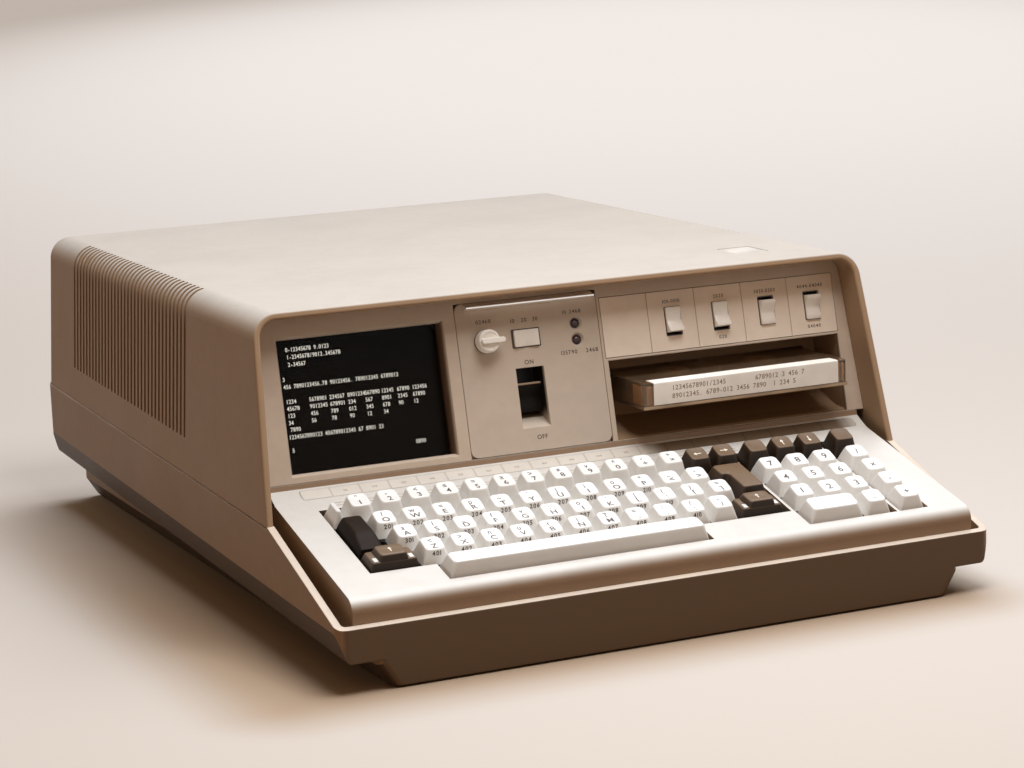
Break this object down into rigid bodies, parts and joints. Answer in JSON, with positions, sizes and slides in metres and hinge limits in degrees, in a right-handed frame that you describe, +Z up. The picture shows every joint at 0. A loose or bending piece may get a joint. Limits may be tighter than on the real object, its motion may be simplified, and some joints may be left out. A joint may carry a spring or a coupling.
{
  "type": "vintage luggable computer",
  "caption": "Wedge-fronted desk-top computer case with built-in keyboard, small display, rocker switches and a tape cartridge in its drive bay.",
  "frame": {"origin": "centre of the footprint, on the surface the machine stands on", "axes": "+X right as seen from the front, +Y to the rear along the longest side, +Z up"},
  "size_m": [0.445, 0.61, 0.203],
  "materials": {
    "case_plastic": "fine textured paint",
    "cover_plastic": "fine textured paint",
    "bezel_plastic": "satin moulded",
    "deck_plastic": "satin moulded",
    "panel_plastic": "satin printed",
    "bay_plastic": "satin moulded",
    "strip_plastic": "matt inlay",
    "plate_metal": "brushed",
    "rubber_black": "matt",
    "lamp_dark": "clear lens, unlit",
    "display_glass": "smoked",
    "tube_glass": "grey picture tube glass",
    "copper_windings": "enamelled wire",
    "black_metal": "black",
    "board_green": "laminate",
    "cast_alloy": "as cast",
    "cage_alloy": "sheet",
    "sheet_steel": "zinc plated",
    "screw_steel": "zinc plated",
    "head_metal": "polished",
    "capstan_rubber": "ground",
    "cartridge_metal": "satin",
    "cartridge_smoke": "smoked clear plastic",
    "label_paper": "matt",
    "tape_brown": "wound tape",
    "roller_plastic": "smooth",
    "core_iron": "varnished laminations",
    "fan_plastic": "black",
    "inlet_plastic": "black",
    "knob_plastic": "satin",
    "rocker_white": "satin",
    "rocker_dark": "satin",
    "key_light": "satin moulded",
    "key_dark": "satin moulded"
  },
  "bodies": {
    "machine": {"base_pan": "case_plastic", "rubber_feet": "rubber_black", "top_cover": "cover_plastic", "name_plate": "plate_metal", "front_bezel": "bezel_plastic", "control_panel": "panel_plastic", "switch_panel": "panel_plastic", "indicator_lamps": "lamp_dark", "display_window": "display_glass", "display_tube": "tube_glass", "deflection_yoke": "copper_windings", "keyboard_deck": "deck_plastic", "keyboard_plate": "black_metal", "keyboard_board": "board_green", "label_strip": "strip_plastic", "tape_bay": "bay_plastic", "tape_drive_deck": "cast_alloy", "drive_motor": "sheet_steel", "tape_head": "head_metal", "chassis_plate": "sheet_steel", "case_screws": "screw_steel", "card_cage": "cage_alloy", "backplane": "board_green", "circuit_cards": "board_green", "power_supply": "cage_alloy", "transformer": "core_iron", "fan_frame": "fan_plastic", "signal_connectors": "head_metal", "power_inlet": "inlet_plastic"},
    "capstan": {"capstan": "capstan_rubber"},
    "cartridge": {"cartridge_base": "cartridge_metal", "cartridge_cover": "cartridge_smoke", "cartridge_label": "label_paper"},
    "left_reel": {"left_reel": "tape_brown"},
    "right_reel": {"right_reel": "tape_brown"},
    "drive_roller": {"drive_roller": "roller_plastic"},
    "fan_rotor": {"fan_rotor": "fan_plastic"},
    "brightness_knob": {"brightness_knob": "knob_plastic"},
    "mode_switch": {"mode_switch": "rocker_white"},
    "power_switch": {"power_switch": "rocker_dark"},
    "option_switch_1": {"option_switch_1": "rocker_white"},
    "option_switch_2": {"option_switch_2": "rocker_white"},
    "option_switch_3": {"option_switch_3": "rocker_white"},
    "option_switch_4": {"option_switch_4": "rocker_white"},
    "letter_keys_row_1": {"letter_keys_row_1": "key_light"},
    "letter_keys_row_2": {"letter_keys_row_2": "key_light"},
    "letter_keys_row_3": {"letter_keys_row_3": "key_light"},
    "letter_keys_row_4": {"letter_keys_row_4": "key_light"},
    "number_pad_keys": {"number_pad_keys": "key_light"},
    "space_bar": {"space_bar": "key_light"},
    "left_arrow_key": {"left_arrow_key": "key_dark"},
    "right_arrow_key": {"right_arrow_key": "key_dark"},
    "attention_key": {"attention_key": "key_dark"},
    "up_arrow_key": {"up_arrow_key": "key_dark"},
    "down_arrow_key": {"down_arrow_key": "key_dark"},
    "hold_key": {"hold_key": "key_dark"},
    "command_key": {"command_key": "key_dark"},
    "left_shift_key": {"left_shift_key": "key_dark"},
    "right_shift_key": {"right_shift_key": "key_dark"},
    "execute_key": {"execute_key": "key_dark"}
  },
  "joints": [
    {"name": "brightness_turn", "type": "hinge", "parent": "machine", "child": "brightness_knob", "pos_m": [-0.0543, -0.14799, 0.16801], "axis": [0, -0.9781, 0.2079], "range_deg": [-135, 135]},
    {"name": "mode_rock", "type": "hinge", "parent": "machine", "child": "mode_switch", "pos_m": [-0.0256, -0.14497, 0.16686], "axis": [0, 0.2079, 0.9781], "range_deg": [-9, 9]},
    {"name": "power_rock", "type": "hinge", "parent": "machine", "child": "power_switch", "pos_m": [-0.0255, -0.14065, 0.12801], "axis": [1, 0, 0], "range_deg": [-20, 0]},
    {"name": "option_rock_1", "type": "hinge", "parent": "machine", "child": "option_switch_1", "pos_m": [0.0813, -0.14497, 0.16686], "axis": [1, 0, 0], "range_deg": [0, 24]},
    {"name": "option_rock_2", "type": "hinge", "parent": "machine", "child": "option_switch_2", "pos_m": [0.1167, -0.14497, 0.16686], "axis": [1, 0, 0], "range_deg": [0, 24]},
    {"name": "option_rock_3", "type": "hinge", "parent": "machine", "child": "option_switch_3", "pos_m": [0.1518, -0.14497, 0.16686], "axis": [1, 0, 0], "range_deg": [-24, 0]},
    {"name": "option_rock_4", "type": "hinge", "parent": "machine", "child": "option_switch_4", "pos_m": [0.1867, -0.14497, 0.16686], "axis": [1, 0, 0], "range_deg": [-24, 0]},
    {"name": "letter_row_1_press", "type": "slide", "parent": "machine", "child": "letter_keys_row_1", "axis": [0, -0.2521, 0.9677], "range_m": [-0.0038, 0], "stiffness_N_per_m": 1950, "springref_m": 0.003},
    {"name": "letter_row_2_press", "type": "slide", "parent": "machine", "child": "letter_keys_row_2", "axis": [0, -0.2521, 0.9677], "range_m": [-0.0038, 0], "stiffness_N_per_m": 1800, "springref_m": 0.003},
    {"name": "letter_row_3_press", "type": "slide", "parent": "machine", "child": "letter_keys_row_3", "axis": [0, -0.2521, 0.9677], "range_m": [-0.0038, 0], "stiffness_N_per_m": 1800, "springref_m": 0.003},
    {"name": "letter_row_4_press", "type": "slide", "parent": "machine", "child": "letter_keys_row_4", "axis": [0, -0.2521, 0.9677], "range_m": [-0.0038, 0], "stiffness_N_per_m": 1650, "springref_m": 0.003},
    {"name": "number_pad_press", "type": "slide", "parent": "machine", "child": "number_pad_keys", "axis": [0, -0.2521, 0.9677], "range_m": [-0.0038, 0], "stiffness_N_per_m": 2250, "springref_m": 0.003},
    {"name": "space_bar_press", "type": "slide", "parent": "machine", "child": "space_bar", "axis": [0, -0.2521, 0.9677], "range_m": [-0.0038, 0], "stiffness_N_per_m": 600, "springref_m": 0.003},
    {"name": "left_arrow_press", "type": "slide", "parent": "machine", "child": "left_arrow_key", "axis": [0, -0.2521, 0.9677], "range_m": [-0.0038, 0], "stiffness_N_per_m": 150, "springref_m": 0.003},
    {"name": "right_arrow_press", "type": "slide", "parent": "machine", "child": "right_arrow_key", "axis": [0, -0.2521, 0.9677], "range_m": [-0.0038, 0], "stiffness_N_per_m": 150, "springref_m": 0.003},
    {"name": "attention_press", "type": "slide", "parent": "machine", "child": "attention_key", "axis": [0, -0.2521, 0.9677], "range_m": [-0.0038, 0], "stiffness_N_per_m": 150, "springref_m": 0.003},
    {"name": "up_arrow_press", "type": "slide", "parent": "machine", "child": "up_arrow_key", "axis": [0, -0.2521, 0.9677], "range_m": [-0.0038, 0], "stiffness_N_per_m": 150, "springref_m": 0.003},
    {"name": "down_arrow_press", "type": "slide", "parent": "machine", "child": "down_arrow_key", "axis": [0, -0.2521, 0.9677], "range_m": [-0.0038, 0], "stiffness_N_per_m": 150, "springref_m": 0.003},
    {"name": "hold_press", "type": "slide", "parent": "machine", "child": "hold_key", "axis": [0, -0.2521, 0.9677], "range_m": [-0.0038, 0], "stiffness_N_per_m": 150, "springref_m": 0.003},
    {"name": "command_press", "type": "slide", "parent": "machine", "child": "command_key", "axis": [0, -0.2521, 0.9677], "range_m": [-0.0038, 0], "stiffness_N_per_m": 150, "springref_m": 0.003},
    {"name": "left_shift_press", "type": "slide", "parent": "machine", "child": "left_shift_key", "axis": [0, -0.2521, 0.9677], "range_m": [-0.0038, 0], "stiffness_N_per_m": 150, "springref_m": 0.003},
    {"name": "right_shift_press", "type": "slide", "parent": "machine", "child": "right_shift_key", "axis": [0, -0.2521, 0.9677], "range_m": [-0.0038, 0], "stiffness_N_per_m": 150, "springref_m": 0.003},
    {"name": "execute_press", "type": "slide", "parent": "machine", "child": "execute_key", "axis": [0, -0.2521, 0.9677], "range_m": [-0.0038, 0], "stiffness_N_per_m": 150, "springref_m": 0.003},
    {"name": "cartridge_slide", "type": "slide", "parent": "machine", "child": "cartridge", "axis": [0, -1, 0], "range_m": [0, 0.11]},
    {"name": "left_reel_spin", "type": "hinge", "parent": "cartridge", "child": "left_reel", "pos_m": [0.085, -0.138, 0.126], "axis": [0, 0, 1], "continuous": true},
    {"name": "right_reel_spin", "type": "hinge", "parent": "cartridge", "child": "right_reel", "pos_m": [0.151, -0.138, 0.126], "axis": [0, 0, 1], "continuous": true},
    {"name": "roller_spin", "type": "hinge", "parent": "cartridge", "child": "drive_roller", "pos_m": [0.118, -0.0904, 0.126], "axis": [0, 0, 1], "continuous": true},
    {"name": "capstan_spin", "type": "hinge", "parent": "machine", "child": "capstan", "pos_m": [0.118, -0.0706, 0.126], "axis": [0, 0, 1], "continuous": true},
    {"name": "fan_spin", "type": "hinge", "parent": "machine", "child": "fan_rotor", "pos_m": [-0.1875, 0.1, 0.092], "axis": [1, 0, 0], "continuous": true}
  ],
  "couplings": [
    {"joint": "right_reel_spin", "follows": "left_reel_spin", "ratio": 1.173},
    {"joint": "roller_spin", "follows": "left_reel_spin", "ratio": -3.2105},
    {"joint": "capstan_spin", "follows": "left_reel_spin", "ratio": 3.05}
  ]
}
